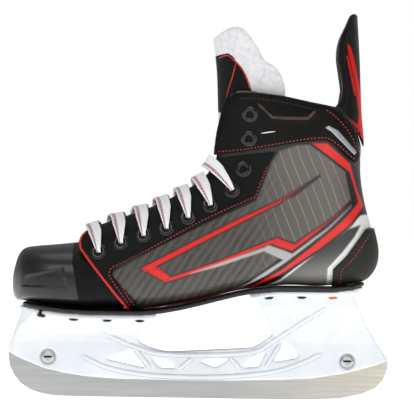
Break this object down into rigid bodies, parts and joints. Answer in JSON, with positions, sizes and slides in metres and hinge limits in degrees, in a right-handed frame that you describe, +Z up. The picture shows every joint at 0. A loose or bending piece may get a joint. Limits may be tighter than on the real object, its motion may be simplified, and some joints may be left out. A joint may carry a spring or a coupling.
{
  "type": "ice skate",
  "caption": "Laced hockey-style ice skate for the left foot: steel runner in a white towered holder, stiff padded boot, felt tongue, tall tendon guard.",
  "frame": {"origin": "on the ice, under the middle of the runner's flat stretch, in the runner's middle plane", "axes": "+X from toe to heel, +Y to the inner (medial) side of a left foot, +Z up from the ice"},
  "size_m": [0.2805, 0.0987, 0.2849],
  "materials": {
    "steel": "ground and polished",
    "bright_steel": "bright",
    "rivet": "dulled",
    "white_plastic": "gloss moulded",
    "outsole": "satin composite",
    "toe_cap": "semi-gloss moulded",
    "black_leather": "coated fabric",
    "grey_panel": "printed composite",
    "eyelet": "gloss",
    "felt": "felt",
    "lining": "brushed knit",
    "lace": "woven flat"
  },
  "bodies": {
    "boot": {"runner": "steel", "holder": "white_plastic", "outsole": "outsole", "toe_cap": "toe_cap", "vamp": "black_leather", "liner": "lining", "footbed": "lining", "tongue_lower": "felt", "lace": "lace", "blade_screw_nut_front": "bright_steel", "blade_screw_nut_rear": "bright_steel", "quarter_lateral": "grey_panel", "facing_lateral": "black_leather", "cuff_lateral": "black_leather", "heel_patch_lateral": "black_leather", "quarter_medial": "grey_panel", "facing_medial": "black_leather", "cuff_medial": "black_leather", "heel_patch_medial": "black_leather", "eyelet_lateral_01": "eyelet", "eyelet_lateral_02": "eyelet", "eyelet_lateral_03": "eyelet", "eyelet_lateral_04": "eyelet", "eyelet_lateral_05": "eyelet", "eyelet_lateral_06": "eyelet", "eyelet_lateral_07": "eyelet", "eyelet_lateral_08": "eyelet", "eyelet_lateral_09": "eyelet", "eyelet_lateral_10": "eyelet", "eyelet_medial_01": "eyelet", "eyelet_medial_02": "eyelet", "eyelet_medial_03": "eyelet", "eyelet_medial_04": "eyelet", "eyelet_medial_05": "eyelet", "eyelet_medial_06": "eyelet", "eyelet_medial_07": "eyelet", "eyelet_medial_08": "eyelet", "eyelet_medial_09": "eyelet", "eyelet_medial_10": "eyelet", "rivet_front_lateral_1": "rivet", "rivet_front_lateral_2": "rivet", "rivet_front_lateral_3": "rivet", "rivet_front_lateral_4": "rivet", "rivet_front_medial_1": "rivet", "rivet_front_medial_2": "rivet", "rivet_front_medial_3": "rivet", "rivet_front_medial_4": "rivet", "rivet_rear_lateral_1": "rivet", "rivet_rear_lateral_2": "rivet", "rivet_rear_lateral_3": "rivet", "rivet_rear_medial_1": "rivet", "rivet_rear_medial_2": "rivet", "rivet_rear_medial_3": "rivet"},
    "tongue": {"tongue_upper": "felt", "tongue_cover": "black_leather"},
    "guard": {"tendon_guard": "black_leather", "tendon_guard_pad": "lining"},
    "screw_front": {"blade_screw_front": "bright_steel"},
    "screw_rear": {"blade_screw_rear": "bright_steel"}
  },
  "joints": [
    {"name": "tongue_flex", "type": "hinge", "parent": "boot", "child": "tongue", "pos_m": [0.012, 0, 0.172], "axis": [0, 1, 0], "range_deg": [-25, 8], "stiffness_Nm_per_rad": 2},
    {"name": "tendon_guard_flex", "type": "hinge", "parent": "boot", "child": "guard", "pos_m": [0.118, 0, 0.184], "axis": [0, 1, 0], "range_deg": [0, 20], "stiffness_Nm_per_rad": 4},
    {"name": "blade_screw_front_turn", "type": "hinge", "parent": "boot", "child": "screw_front", "pos_m": [-0.1112, 0, 0.029], "axis": [0, 1, 0], "continuous": true},
    {"name": "blade_screw_rear_turn", "type": "hinge", "parent": "boot", "child": "screw_rear", "pos_m": [0.1097, 0, 0.029], "axis": [0, 1, 0], "continuous": true}
  ]
}
